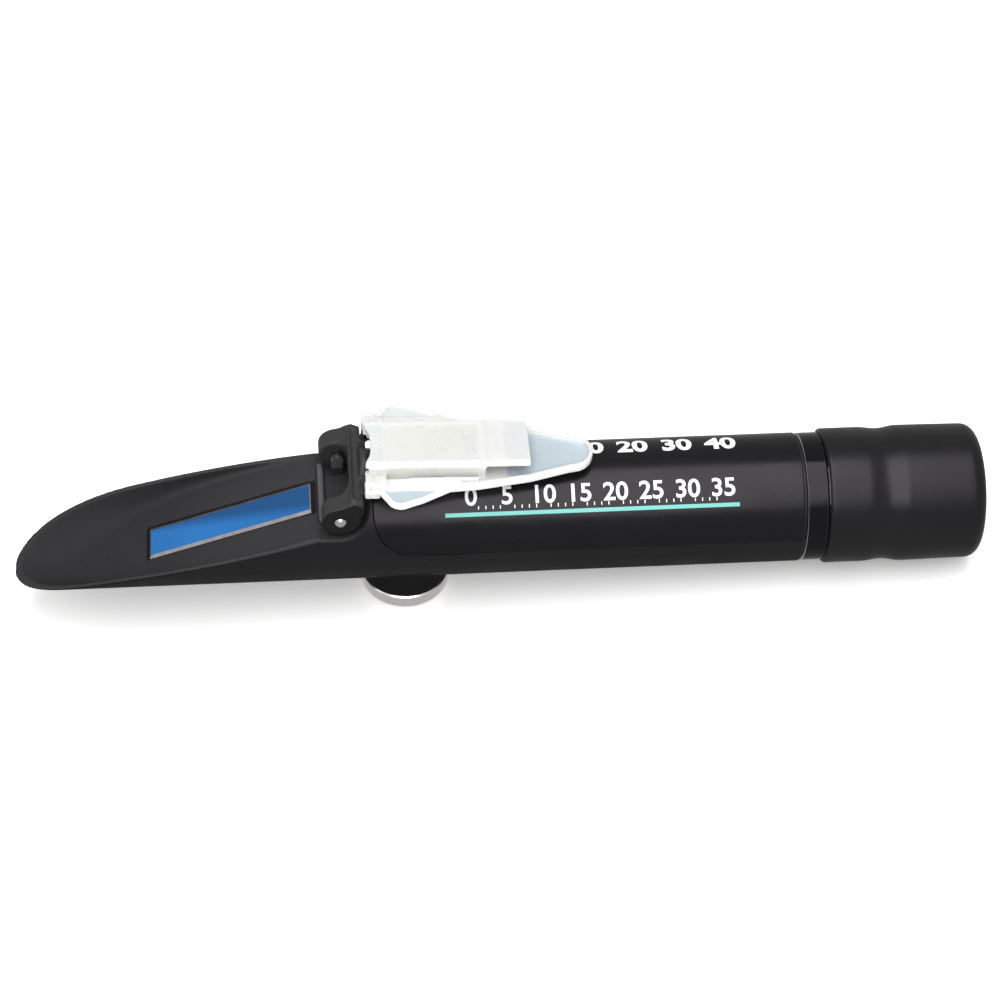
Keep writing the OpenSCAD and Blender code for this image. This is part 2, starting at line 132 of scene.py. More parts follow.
def steps(*parts):
    """Grid lines from (start, end, step) runs that follow one another."""
    out = []
    for a, b, h in parts:
        n = max(1, round((b - a) / h))
        out += list(np.linspace(a, b, n, endpoint=False))
    return np.array(out + [parts[-1][1]])


# ---------------------------------------------------------------- meshes
def make(name, verts, faces, body, smooth=True):
    me = bpy.data.meshes.new(name)
    me.from_pydata([tuple(v) for v in np.asarray(verts) * MM], [], faces)
    me.validate()
    o = bpy.data.objects.new(name, me)
    bpy.context.scene.collection.objects.link(o)
    if smooth:
        me.shade_smooth()
    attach(o, body)
    return o


def face_outwards(o, merge=0.0):
    """Turns every face outwards, after joining points closer together than merge, in metres."""
    bm = bmesh.new()
    bm.from_mesh(o.data)
    if merge:
        bmesh.ops.remove_doubles(bm, verts=bm.verts, dist=merge)
    bmesh.ops.recalc_face_normals(bm, faces=bm.faces)
    bm.to_mesh(o.data)
    bm.free()


def nets(field, xs, ys, zs, pull=3):
    """A closed quad mesh of the surface where field is 0, with its points moved onto that surface."""
    g = np.meshgrid(xs, ys, zs, indexing="ij")
    f = field(*g)
    s = f < 0
    n = [len(xs), len(ys), len(zs)]
    count = np.zeros([i - 1 for i in n], np.int8)
    for a in (0, 1):
        for b in (0, 1):
            for c in (0, 1):
                count += s[a : n[0] - 1 + a, b : n[1] - 1 + b, c : n[2] - 1 + c]
    cell = np.argwhere((count > 0) & (count < 8))
    ids = np.full(count.shape, -1)
    ids[tuple(cell.T)] = np.arange(len(cell))
    axes = [xs, ys, zs]
    total = np.zeros((len(cell), 3))
    hits = np.zeros(len(cell))
    for ax in range(3):
        o1, o2 = [i for i in range(3) if i != ax]
        for a in (0, 1):
            for b in (0, 1):
                p = cell.copy()
                p[:, o1] += a
                p[:, o2] += b
                q = p.copy()
                q[:, ax] += 1
                fp, fq = f[tuple(p.T)], f[tuple(q.T)]
                m = (fp < 0) != (fq < 0)
                t = np.where(m, fp / np.where(m, fp - fq, 1), 0)
                at = np.stack([axes[i][p[:, i]] for i in range(3)], 1).astype(float)
                at[:, ax] += t * (axes[ax][q[:, ax]] - axes[ax][p[:, ax]])
                total += at * m[:, None]
                hits += m
    v = total / hits[:, None]
    home = v.copy()
    reach = np.stack([np.gradient(axes[i])[cell[:, i]] for i in range(3)], 1)
    e = 0.02
    for _ in range(pull):
        d = field(v[:, 0], v[:, 1], v[:, 2])
        grad = np.stack(
            [
                (field(*(v + e * np.eye(3)[i]).T) - field(*(v - e * np.eye(3)[i]).T)) / (2 * e)
                for i in range(3)
            ],
            1,
        )
        v = v - (d / np.maximum((grad**2).sum(1), 0.2))[:, None] * grad
        v = np.clip(v, home - reach * 0.6, home + reach * 0.6)
    quads = []
    for ax in range(3):
        o1, o2 = (ax + 1) % 3, (ax + 2) % 3
        lo = [slice(None)] * 3
        hi = [slice(None)] * 3
        lo[ax], hi[ax] = slice(0, n[ax] - 1), slice(1, n[ax])
        cross = s[tuple(lo)] != s[tuple(hi)]
        e_at = np.argwhere(cross)
        ok = (e_at[:, o1] > 0) & (e_at[:, o1] < n[o1] - 1) & (e_at[:, o2] > 0) & (e_at[:, o2] < n[o2] - 1)
        e_at = e_at[ok]
        ring = []
        for a, b in ((-1, -1), (0, -1), (0, 0), (-1, 0)):
            c = e_at.copy()
            c[:, o1] += a
            c[:, o2] += b
            ring.append(ids[tuple(c.T)])
        ring = np.stack(ring, 1)
        out = s[tuple(lo)][tuple(e_at.T)]
        ring[~out] = ring[~out][:, ::-1]
        quads.append(ring)
    return v, np.concatenate(quads).tolist()


def relax(v, quads, rounds=1):
    """Evens out a net by moving each point part of the way towards its neighbours."""
    share = 0.35
    q = np.array(quads)
    for _ in range(rounds):
        total = np.zeros_like(v)
        hits = np.zeros(len(v))
        for a, b in ((0, 1), (1, 2), (2, 3), (3, 0)):
            for i, j in ((a, b), (b, a)):
                np.add.at(total, q[:, i], v[q[:, j]])
                np.add.at(hits, q[:, i], 1)
        v = v * (1 - share) + share * total / np.maximum(hits, 1)[:, None]
    return v


def per_face(o, what):
    out = np.zeros(len(o.data.polygons) * 3)
    o.data.polygons.foreach_get(what, out)
    return out.reshape(-1, 3)


def centres(o):
    return per_face(o, "center") / MM


def paint(o, index):
    """Gives each face the material slot that index says."""
    o.data.polygons.foreach_set("material_index", index.astype(np.int32))


def lathe(name, profile, body, seg):
    """A closed ring of (distance along x, radius) points turned round the barrel's axis."""
    n = len(profile)
    verts, faces = [], []
    for a in np.linspace(0, 2 * math.pi, seg, endpoint=False):
        c, s = math.cos(a), math.sin(a)
        verts += [(d, r * c, r * s) for d, r in profile]
    for i in range(seg):
        j = (i + 1) % seg
        for k in range(n):
            m = (k + 1) % n
            faces.append([i * n + k, j * n + k, j * n + m, i * n + m])
    o = make(name, verts, faces, body)
    face_outwards(o, 1e-6)
    return o


def keep_sharp(o, deg):
    """Flat faces stay flat and edges crisp, by an angle limit on the smooth shading."""
    o.data.shade_smooth()
    o.data.set_sharp_from_angle(angle=math.radians(deg))


# ---------------------------------------------------------------- materials
def mat(
    name, base, rough=0.4, *, metal=0.0, spec=0.5, coat=0.0, trans=0.0, ior=1.45, sss=0.0,
    tint=0.06, tint_scale=60, grain=900, bump=0.02, rough_var=0.06, specks=0.0,
):
    """A procedural material: its colour and gloss vary a little, and its grain is bump millimetres deep."""
    m = bpy.data.materials.new(name)
    m.use_nodes = True
    nt = m.node_tree
    nt.nodes.clear()
    add = nt.nodes.new
    out = add("ShaderNodeOutputMaterial")
    b = add("ShaderNodeBsdfPrincipled")
    nt.links.new(b.outputs[0], out.inputs[0])
    b.inputs["Metallic"].default_value = metal
    b.inputs["Specular IOR Level"].default_value = spec
    b.inputs["Coat Weight"].default_value = coat
    b.inputs["Coat Roughness"].default_value = 0.1
    b.inputs["Transmission Weight"].default_value = trans
    b.inputs["IOR"].default_value = ior
    b.inputs["Subsurface Weight"].default_value = sss
    b.inputs["Subsurface Radius"].default_value = (0.004, 0.004, 0.005)
    b.inputs["Subsurface Scale"].default_value = 1.0
    tc = add("ShaderNodeTexCoord")

    def noise(scale, detail, seed=0.0):
        t = add("ShaderNodeTexNoise")
        t.noise_dimensions = "4D"
        t.inputs["Scale"].default_value = scale
        t.inputs["Detail"].default_value = detail
        t.inputs["Roughness"].default_value = 0.55
        t.inputs["W"].default_value = seed
        nt.links.new(tc.outputs["Object"], t.inputs["Vector"])
        return t.outputs["Fac"]

    def ramp(fac, stops):
        r = add("ShaderNodeValToRGB")
        els = r.color_ramp.elements
        while len(els) < len(stops):
            els.new(0.5)
        for el, (pos, col) in zip(els, stops):
            el.position = pos
            el.color = (*col, 1)
        nt.links.new(fac, r.inputs[0])
        return r.outputs[0]

    dark = [c * (1 - tint) for c in base]
    light = [min(1, c * (1 + tint) + tint * 0.02) for c in base]
    col = ramp(noise(tint_scale, 4), [(0.3, dark), (0.7, light)])
    if specks:
        sp = ramp(noise(2600, 1, 3.0), [(0.74, (0, 0, 0)), (0.78, (specks,) * 3)])
        mix = add("ShaderNodeMix")
        mix.data_type = "RGBA"
        mix.blend_type = "ADD"
        mix.inputs[0].default_value = 1.0
        nt.links.new(col, mix.inputs[6])
        nt.links.new(sp, mix.inputs[7])
        col = mix.outputs[2]
    nt.links.new(col, b.inputs["Base Color"])
    mr = add("ShaderNodeMapRange")
    mr.inputs["From Min"].default_value = 0.3
    mr.inputs["From Max"].default_value = 0.7
    mr.inputs["To Min"].default_value = max(0.02, rough - rough_var)
    mr.inputs["To Max"].default_value = rough + rough_var
    nt.links.new(noise(140, 5, 7.0), mr.inputs["Value"])
    nt.links.new(mr.outputs[0], b.inputs["Roughness"])
    if bump:
        bp = add("ShaderNodeBump")
        bp.inputs["Strength"].default_value = 0.35
        bp.inputs["Distance"].default_value = bump * MM
        nt.links.new(noise(grain, 4, 11.0), bp.inputs["Height"])
        nt.links.new(bp.outputs[0], b.inputs["Normal"])
    return m


MOULDED = {"grain": 2200, "bump": 0.012}
HINGE = {"spec": 0.35, "grain": 1800, "bump": 0.02}
GROUND = {"grain": 2600, "bump": 0.03}
MILKY = {"grain": 700, "bump": 0.02, "ior": 1.4}
M = {
    # painted light: the housing's inner surfaces take a lighter copy of the same black plastic as its outer
    # skin
    "housing": mat("housing_plastic", (0.037, 0.036, 0.0385), 0.42, spec=0.28, specks=0.1, **MOULDED),
    "skin": mat("housing_skin", (0.012, 0.0117, 0.0126), 0.4, spec=0.28, specks=0.05, **MOULDED),
    # a lighter copy of the housing's black plastic, for painted highlights
    "lit": mat("housing_painted_highlight", (0.09, 0.088, 0.092), 0.35, spec=0.4, **MOULDED),
    "cover": mat("cover_plastic", (0.008, 0.008, 0.009), 0.25, spec=0.36, grain=1500, bump=0.004),
    "stripe": mat("stripe_print", (0.17, 0.475, 0.435), 0.35, tint=0.05, grain=3000, bump=0.004),
    "print": mat("white_print", (0.85, 0.86, 0.87), 0.4, tint=0.03, grain=3000, bump=0.004),
    "prism": mat(
        "prism_glass", (0.017, 0.13, 0.34), 0.1, spec=0.35, tint=0.25, tint_scale=18, bump=0.0, coat=0.3
    ),
    "lit_ground": mat("ground_edge_painted_highlight", (0.235, 0.22, 0.22), 0.5, tint=0.25, tint_scale=500, **GROUND),
    "ground": mat("ground_edge", (0.075, 0.075, 0.085), 0.45, tint=0.3, tint_scale=400, **GROUND),
    "seal": mat("seal_rubber", (0.01, 0.01, 0.011), 0.6, spec=0.2),
    "inner": mat("inner_black", (0.014, 0.014, 0.014), 0.55, spec=0.3),
    "steel": mat("pin_steel", (0.72, 0.71, 0.7), 0.22, metal=1.0, tint=0.04, grain=1800, bump=0.006),
    "clear": mat("reticle_clear", (0.9, 0.93, 0.95), 0.05, trans=0.9, bump=0.0, tint=0.02),
    "collar": mat(
        "collar_black", (0.005, 0.005, 0.006), 0.12, spec=0.3, grain=1200, bump=0.003, rough_var=0.03
    ),
    "metal": mat("retainer_metal", (0.6, 0.6, 0.62), 0.3, metal=1.0, bump=0.006),
    "bracket": mat("bracket_plastic", (0.042, 0.041, 0.042), 0.42, specks=0.08, **HINGE),
    "ear": mat("bracket_side_painted_shade", (0.018, 0.0178, 0.0185), 0.42, specks=0.05, **HINGE),
    "plate": mat("plate_milky", (0.645, 0.645, 0.635), 0.3, trans=0.08, sss=0.8, tint=0.02, **MILKY),
    "thin": mat("plate_thin", (0.495, 0.565, 0.605), 0.25, trans=0.2, tint=0.03, **MILKY),
    "pale_show_through": mat("plate_painted_pale_show_through", (0.6, 0.62, 0.622), 0.25, trans=0.1, sss=0.5, tint=0.03, **MILKY),
    "wall": mat("plate_painted_wall_highlight", (0.84, 0.84, 0.825), 0.3, trans=0.05, sss=0.8, tint=0.02, **MILKY),
    "knob": mat("knob_steel", (0.95, 0.92, 0.9), 0.3, metal=1.0, tint=0.05, grain=1500, bump=0.01),
    "brass": mat("brass", (0.7, 0.55, 0.3), 0.3, metal=1.0, bump=0.01),
    "bimetal": mat("bimetal", (0.62, 0.45, 0.3), 0.35, metal=1.0, bump=0.01),
    "glass": mat(
        "lens_glass", (0.96, 0.98, 1.0), 0.03, trans=0.95, ior=1.5, bump=0.0, tint=0.01, rough_var=0.01
    ),
    "rubber": mat(
        "eyecup_rubber", (0.0105, 0.0105, 0.0112), 0.32, spec=0.4, grain=1600, bump=0.015, specks=0.04
    ),
}


def shader(m):
    return next(n for n in m.node_tree.nodes if n.type == "BSDF_PRINCIPLED")


def how_far(m, direction):
    """Adds nodes for how far a point of the object lies along a direction, in millimetres."""
    add, wire = m.node_tree.nodes.new, m.node_tree.links.new
    tc = add("ShaderNodeTexCoord")
    dot = add("ShaderNodeVectorMath")
    dot.operation = "DOT_PRODUCT"
    dot.inputs[1].default_value = [k / MM for k in direction]
    wire(tc.outputs["Object"], dot.inputs[0])
    return dot.outputs["Value"]


def fade(m, value, start, end):
    """Adds a node that goes from 0 to 1 as value goes from start to end."""
    rng = m.node_tree.nodes.new("ShaderNodeMapRange")
    rng.inputs["From Min"].default_value, rng.inputs["From Max"].default_value = start, end
    m.node_tree.links.new(value, rng.inputs["Value"])
    return rng


def recolour(m, share, other, other_first):
    """Mixes the colour other into a material: at share 0 if other_first, and otherwise at share 1."""
    wire = m.node_tree.links.new
    mix = m.node_tree.nodes.new("ShaderNodeMix")
    mix.data_type = "RGBA"
    own, new = (7, 6) if other_first else (6, 7)
    wire(share, mix.inputs[0])
    wire(shader(m).inputs["Base Color"].links[0].from_socket, mix.inputs[own])
    mix.inputs[new].default_value = (*other, 1)
    wire(mix.outputs[2], shader(m).inputs["Base Color"])


def blend_by_place(m, direction, offset, stops, other, sockets=()):
    """Mixes in a second colour as the size of (distance along direction + offset) goes from stop to stop."""
    add, wire = m.node_tree.nodes.new, m.node_tree.links.new
    off = add("ShaderNodeMath")
    off.operation = "ADD"
    off.inputs[1].default_value = offset
    wire(how_far(m, direction), off.inputs[0])
    size = add("ShaderNodeMath")
    size.operation = "ABSOLUTE"
    wire(off.outputs[0], size.inputs[0])
    share = fade(m, size.outputs[0], *stops).outputs[0]
    recolour(m, share, other, other_first=False)
    for name in sockets:
        wire(share, shader(m).inputs[name])


def dull(m, direction, start, end, low):
    """Lowers a material's gloss to the share low between two distances, in millimetres, along a direction."""
    gloss = shader(m).inputs["Specular IOR Level"]
    rng = fade(m, how_far(m, direction), start, end)
    full = gloss.default_value
    rng.inputs["To Min"].default_value, rng.inputs["To Max"].default_value = full, full * low
    m.node_tree.links.new(rng.outputs[0], gloss)


def rim_highlight(m, start, end, other):
    """Fades from the colour other to the material's own, between two distances from the barrel's axis: a
    painted highlight on the rims.
    """
    add, wire = m.node_tree.nodes.new, m.node_tree.links.new
    tc = add("ShaderNodeTexCoord")
    flat = add("ShaderNodeVectorMath")
    flat.operation = "MULTIPLY"
    flat.inputs[1].default_value = (0, 1, 1)
    wire(tc.outputs["Object"], flat.inputs[0])
    radius = add("ShaderNodeVectorMath")
    radius.operation = "LENGTH"
    wire(flat.outputs["Vector"], radius.inputs[0])
    share = fade(m, radius.outputs["Value"], start * MM, end * MM).outputs[0]
    recolour(m, share, other, other_first=True)


# painted highlight: the nose's rim and the edges of the cover's recess get a lighter grey than the skin's own
# black
rim_highlight(M["skin"], 13.15, 13.45, (0.047, 0.045, 0.0465))
# The photo's lower sides are nearly black, so gloss is lowered there.
# The real plastic is equally glossy all round.
DOWN, FRONT = (0, 0, -1), (0, -1, 0)
dull(M["housing"], DOWN, -1, 6, 0.1)
dull(M["skin"], DOWN, -1, 6, 0.1)
dull(M["cover"], DOWN, -5, 3, 0.2)
dull(M["collar"], DOWN, -4, 5, 0.3)
dull(M["rubber"], DOWN, -1, 7, 0.2)
dull(M["ear"], FRONT, 10.9, 11.3, 0.15)
for key in ("cover", "rubber", "collar", "skin"):
    shader(M[key]).inputs["Specular Tint"].default_value = (1.0, 0.93, 1.0, 1)
# painted shade: the polished prism's colour darkens along a slanting line towards its far end
SLANT = 0.194
blend_by_place(M["prism"], (SLANT, 1.0, 0.0), SLANT * 100 - 4.1 + 30, (28.3, 31.0), (0.012, 0.075, 0.2))
# the collar's two turned edges, the same distance from its middle, are bare and bright
COLLAR_MID = TUBE_END + 2.3
blend_by_place(M["collar"], (1.0, 0.0, 0.0), -COLLAR_MID, (1.98, 2.06), (0.5, 0.48, 0.46), ("Metallic",))
NODE_MAT = {
    "housing": "housing", "label_cover": "cover", "accent_stripe": "stripe", "prism": "prism",
    "prism_gasket": "seal", "prism_bed": "seal", "hinge_pins": "steel", "light_stop": "inner",
    "guide_pins": "steel", "reticle_holder": "inner", "reticle_glass": "clear", "reticle_ring": "inner",
    "collar": "collar", "collar_o_ring": "seal", "sleeve_retainer": "metal", "hinge_bracket": "bracket",
    "link_pins": "steel", "daylight_plate": "plate", "calibration_knob": "knob", "calibration_screw": "brass",
    "knob_o_ring": "seal", "screw_clip": "steel", "calibration_carrier": "brass", "bimetal_strip": "bimetal",
    "strip_screws": "steel", "objective_cell": "inner", "objective_lens": "glass", "objective_ring": "inner",
    "focus_ring": "inner", "rubber_eyecup": "rubber", "ocular_cell": "inner", "field_lens": "glass",
    "lens_spacer": "inner", "eye_lens": "glass", "ocular_ring": "inner", "drive_pin": "steel",
}
for node, key in NODE_MAT.items():
    o = frame["nodes"][node]
    o.data.materials.clear()
    o.data.materials.append(M[key])


def dress(o, key, slot, *nodes):
    o.data.materials.clear()
    for k in [key] if isinstance(key, str) else key:
        o.data.materials.append(M[k])
    if nodes:
        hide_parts(*nodes)
    return o


# ---------------------------------------------------------------- housing
def rim(x, z):
    c, s = math.cos(RIM_A), math.sin(RIM_A)
    line = (z - RIM_Z) * c - (x - RIM_X) * s
    curve = np.hypot(x - RIM_CX, z - RIM_CZ) - RIM_R
    return np.where((x - RIM_X) * c + (z - RIM_Z) * s < 0, curve, line)


def saddle(x, z):
    d = np.hypot(x + 60.5, z - 11.6) - 5.85
    d = smin(d, box(x, 0 * x, z, (-66.35, -1, 11.6), (-54.65, 1, 30)), 0.2)
    return smin(d, box(x, 0 * x, z, (SADDLE_X, -1, 5.75), (-60.5, 1, 30)), 0.2)


def housing(x, y, z):
    rho = np.hypot(y, z)
    d = smax(rho - BODY, x - TUBE_END, 0.7)
    boss = smax(np.hypot(x - KNOB_X, y) - BOSS_R, BOSS_Z - z, 0.6)
    d = smin(d, np.maximum(boss, z + 6), 1.0)
    d = smax(d, -smax(-rim(x, z), x - SADDLE_X, 0.3), 0.55)
    w = (z - FLOOR_AT_PIN) * math.cos(FLOOR_A) - (x - PIN_X) * math.sin(FLOOR_A)
    qy, qw = np.abs(y) - 10.9, 3 - w
    hollow = np.hypot(np.maximum(qy, 0), np.maximum(qw, 0)) + np.minimum(np.maximum(qy, qw), 0) - 3
    scoop = smax(smax(rho - SCOOP_R, hollow, 1.2), x - (SADDLE_X + 0.4), 0.3)
    d = smax(d, -scoop, 0.5)
    d = smax(d, -saddle(x, z), 0.4)
    well = box(x, y, z, (PRISM[0][0] - 0.6, -4.5, -8.9), (PRISM[1][0] + 0.9, 4.5, 12))
    d = smax(d, -well, 0.25)
    d = smax(d, -smax(rho - LIGHT_R, LIGHT_X - x, 0.2), 0.2)
    d = smax(d, -smax(rho - BORE_R, BORE_X - x, 0.2), 0.5)
    # lip along the end of the sloping floor
    lip = smax(slab(x, SADDLE_X - 0.3, SADDLE_X + 1.3), slab(z, 3, 7.5), 1.0)
    d = smin(d, smax(lip, np.abs(y) - 8.6, 1.5), 0.4)
    lug = np.hypot(x - PIN_X, z - PIN_Z) - LUG_R
    lug = smin(lug, box(x, 0 * x, z, (PIN_X - LUG_R, -1, 4), (PIN_X + LUG_R, 1, PIN_Z)), 0.3)
    d = smin(d, smax(lug, np.abs(np.abs(y) - LUG_Y) - LUG_HALF, 0.3), 0.3)
    # a small moulding nub on the front flank
    return smin(d, np.sqrt((x + 43.7) ** 2 + (y + 13.35) ** 2 + z**2) - 0.42, 0.2)


v, f = nets(
    housing,
    steps((-142, -52, 0.42), (-52, -36, 0.5), (-36, 34.2, 2.2), (34.2, 36.9, 0.3)),
    steps((-14.4, 14.4, 0.4)),
    steps((-17.5, 14.4, 0.4)),
)
shell = make("housing_shell", v, f, "housing")


def outline(grow):
    """Front edge of the cover: (x, angle from the top) down one side, ending at its lower edge."""
    z0 = COVER[0][2] - grow
    x0 = COVER[0][0] - grow
    r = 9.1
    cx, cz = x0 + r, z0 + r
    straight = list(np.linspace(BODY, cz, 40, endpoint=False))
    corner = [cz - r * math.sin(t) for t in np.linspace(0, math.pi / 2 * 0.995, 48)]
    pts = []
    for z in straight + corner:
        x = x0 if z >= cz else cx - math.sqrt(max(r * r - (z - cz) ** 2, 0))
        pts.append((x, math.acos(min(z, BODY) / BODY)))
    return pts


def wrap(name, grow, x1, r_of, r_in):
    """A closed curved plate on the barrel with the cover's outline.
    r_of gives its outer radius at a distance from its edge, and r_in is its inner radius."""
    inset = (0.0, 0.05, 0.1, 0.16, 0.24, 0.6)
    edge = outline(grow)
    xs = np.array([p[0] for p in edge])
    an = np.array([p[1] for p in edge])
    a_end = an[-1]
    rows = sorted(set(list(np.linspace(0, a_end - 0.6 / BODY, 60)) + [a_end - i / BODY for i in inset]))
    rows = np.array([-a for a in rows[::-1][:-1]] + rows) if rows[0] == 0 else np.array(rows)
    line = np.stack([xs, an * BODY], 1)
    full = np.concatenate([line, [[x1, line[-1][1]]]])
    seg_a, seg_b = full[:-1], full[1:]

    def dist(x, s):
        p = np.array([x, abs(s)])
        e = seg_b - seg_a
        t = np.clip(((p - seg_a) * e).sum(1) / np.maximum((e**2).sum(1), 1e-12), 0, 1)
        near = np.sqrt(((seg_a + t[:, None] * e - p) ** 2).sum(1)).min()
        return min(near, x1 - x)

    cols = []
    verts = []
    for a in rows:
        x0 = float(np.interp(abs(a), an, xs))
        middle = list(np.linspace(x0 + 1.2, x1 - 1.2, 60))
        cols.append(list(x0 + np.array(inset)) + middle + list(x1 - np.array(inset)[::-1]))
        for x in cols[-1]:
            r = r_of(dist(x, a * BODY))
            verts.append((x, -r * math.sin(a), r * math.cos(a)))
    n_top = len(verts)
    for a, xr in zip(rows, cols):
        verts += [(x, -r_in * math.sin(a), r_in * math.cos(a)) for x in xr]
    n_row, n_col = len(rows), len(cols[0])
    faces = []
    for i in range(n_row - 1):
        for j in range(n_col - 1):
            q = [i * n_col + j, i * n_col + j + 1, (i + 1) * n_col + j + 1, (i + 1) * n_col + j]
            faces.append(q)
            faces.append([n_top + k for k in q[::-1]])
    ring = (
        list(range(n_col))
        + [i * n_col + n_col - 1 for i in range(1, n_row)]
        + [(n_row - 1) * n_col + j for j in range(n_col - 2, -1, -1)]
        + [i * n_col for i in range(n_row - 2, 0, -1)]
    )
    for a, b in zip(ring, ring[1:] + ring[:1]):
        faces.append([a, n_top + a, n_top + b, b])
    o = make(name, verts, faces, "housing")
    face_outwards(o)
    keep_sharp(o, 50)
    return o


def round_edge(d):
    r = 0.22
    return BODY - (r - math.sqrt(max(r * r - (r - min(d, r)) ** 2, 0)))


cover = wrap("cover_plate", 0, TUBE_END - 0.45, round_edge, BODY - 0.8)
dress(cover, "cover", "cover_plastic", "label_cover")
# the cover's recess is cut out of the shell, a little larger and deeper than the cover
cutter = wrap("recess_cutter", 0.11, TUBE_END + 2, lambda d: BODY + 0.4, BODY - 0.85)
mod = shell.modifiers.new("recess", "BOOLEAN")
mod.operation = "DIFFERENCE"
mod.solver = "EXACT"
mod.object = cutter
bpy.context.view_layer.update()
dg = bpy.context.evaluated_depsgraph_get()
done = bpy.data.meshes.new_from_object(shell.evaluated_get(dg))
shell.modifiers.clear()
bm = bmesh.new()
bm.from_mesh(done)
bmesh.ops.remove_doubles(bm, verts=bm.verts, dist=3e-6)
bmesh.ops.dissolve_degenerate(bm, edges=bm.edges, dist=3e-6)
bm.to_mesh(done)
bm.free()
shell.data = done
bpy.data.objects.remove(cutter)
keep_sharp(shell, 40)
dress(shell, ("housing", "skin", "lit"), "housing_plastic", "housing")
mid = centres(shell)
# outer skin in the darker copy, inner surfaces in the lighter one: painted light on one black plastic
skin = np.hypot(mid[:, 1], mid[:, 2]) > np.where(mid[:, 0] < -66, 12.55, 13.2)
lip_top = (np.abs(mid[:, 0] - SADDLE_X - 0.5) < 0.9) & (np.abs(mid[:, 1]) < 8.4) & (mid[:, 2] > 7.2)
upright = np.abs(per_face(shell, "normal")[:, 2]) < 0.5
lug_side = (np.abs(mid[:, 0] - PIN_X) < 1.6) & (np.abs(np.abs(mid[:, 1]) - LUG_Y) < 0.9)
lug_side &= (mid[:, 2] > 8.2) & upright
# painted highlight: the top of the lip and the lugs' sides take the lighter 'lit' copy of the black plastic
paint(shell, np.where(lip_top | lug_side, 2, skin))


# ---------------------------------------------------------------- prism: polished face, ground bevels
def prism_block():
    x0, x1 = PRISM[0][0], PRISM[1][0]
    foot = PRISM[0][2]
    w = 4.1
    drop = 0.05
    shoulder = 0.3
    end_bevel, side_bevel = 0.28, 0.75
    along = np.array([math.cos(FLOOR_A), math.sin(FLOOR_A)])
    z0, z1 = floor_z(x0) - drop, floor_z(x1) - drop
    t0, t1 = np.array([x0, z0]) + along * end_bevel, np.array([x1, z1]) - along * end_bevel
    z0, z1 = z0 - shoulder, z1 - shoulder
    h = w - side_bevel
    # bottom, shoulder under the bevels, polished face
    rings = [
        [(x0, -w, foot), (x1, -w, foot), (x1, w, foot), (x0, w, foot)],
        [(x0, -w, z0), (x1, -w, z1), (x1, w, z1), (x0, w, z0)],
        [(t0[0], -h, t0[1]), (t1[0], -h, t1[1]), (t1[0], h, t1[1]), (t0[0], h, t0[1])],
    ]
    verts = [p for r in rings for p in r]
    faces = [[3, 2, 1, 0]]
    for k in (0, 4):
        for i in range(4):
            j = (i + 1) % 4
            faces.append([k + i, k + j, k + 4 + j, k + 4 + i])
    faces.append([8, 9, 10, 11])
    o = make("prism_block", verts, faces, "housing", smooth=False)
    b = o.modifiers.new("edge", "BEVEL")
    b.width = 0.06 * MM
    b.segments = 2
    b.limit_method = "ANGLE"
    return o


block = dress(prism_block(), ("prism", "lit_ground", "ground"), "prism_glass", "prism")
# the polished face, then the two bevels that catch the light: the front one and the one at the upper end.
# These get a lighter copy of the ground glass, a painted highlight.
POLISHED, LIT_BEVELS = 9, (5, 6)
for p in block.data.polygons:
    p.material_index = 0 if p.index == POLISHED else 1 if p.index in LIT_BEVELS else 2


# ---------------------------------------------------------------- hinge bracket
def bracket(x, y, z):
    ay = np.abs(y)
    disc = np.hypot(x - PIN_X, z - PIN_Z) - EAR_R
    arm = poly(x, z, [
        (PIN_X, PIN_Z), (PIN_X + 2.6, PIN_Z - 2.6), (-56.2, 9.6), (-56.2, 14.4), (-57.4, 15.2),
        (PIN_X, PIN_Z + EAR_R),
    ])
    ear = smax(smin(disc, arm, 0.5), slab(ay, EAR_IN, EAR_OUT), 0.5)
    bar = smax(poly(x, z, [(-58.5, 12.6), (-56.0, 12.2), (-55.8, 15.2), (-58.3, 16.0)]), ay - 10.6, 0.4)
    d = smin(ear, bar, 1.5)
    # the opening's rounded corners
    bow = poly(x, ay, [
        (-61.3, 7.6), (-60.0, 6.9), (-58.9, 5.6), (-58.2, 3.9), (-57.8, 2.0), (-57.7, -1), (-56.4, -1),
        (-56.4, 9), (-61.3, 9),
    ])
    rise = poly(x, z, [(-61.4, 12.75), (-56.2, 12.6), (-56.2, 15.4), (-58.2, 15.4), (-61.4, 12.95)])
    d = smin(d, smax(bow, rise, 0.4), 0.5)
    lip = smax(poly(x, z, [(-56.4, 13.9), (-54.9, 14.2), (-54.6, 15.2), (-56.4, 15.3)]), ay - 7.95, 0.3)
    d = smin(d, lip, 0.3)
    tab = poly(x, z, [(-56.3, 14), (-55.2, 14.2), (-54.5, 16.4), (-54.6, 19), (-55.5, 19), (-56.3, 16.2)])
    d = smin(d, smax(tab, np.hypot(y, z - 13) - 4.9, 0.4), 0.6)
    knuckle = np.hypot(x - LINK_X, z - LINK_Z) - 1.35
    post = poly(x, z, [
        (LINK_X - 2.1, 14.0), (LINK_X - 0.2, 14.9), (LINK_X - 0.2, LINK_Z + 1), (LINK_X - 1.9, 15.3),
    ])
    knuckle = smin(knuckle, post, 0.3)
    d = smin(d, smax(knuckle, slab(ay, 6.4, 8.0), 0.25), 0.35)
    # groove along the bar, behind its lit front edge
    d = smax(d, -smax(np.hypot(x + 57.1, z - 16.2) - 0.75, ay - 9.6, 0.3), 0.25)
    bore = np.hypot(x - PIN_X, z - PIN_Z) - 0.95
    return smax(d, -bore, 0.2)


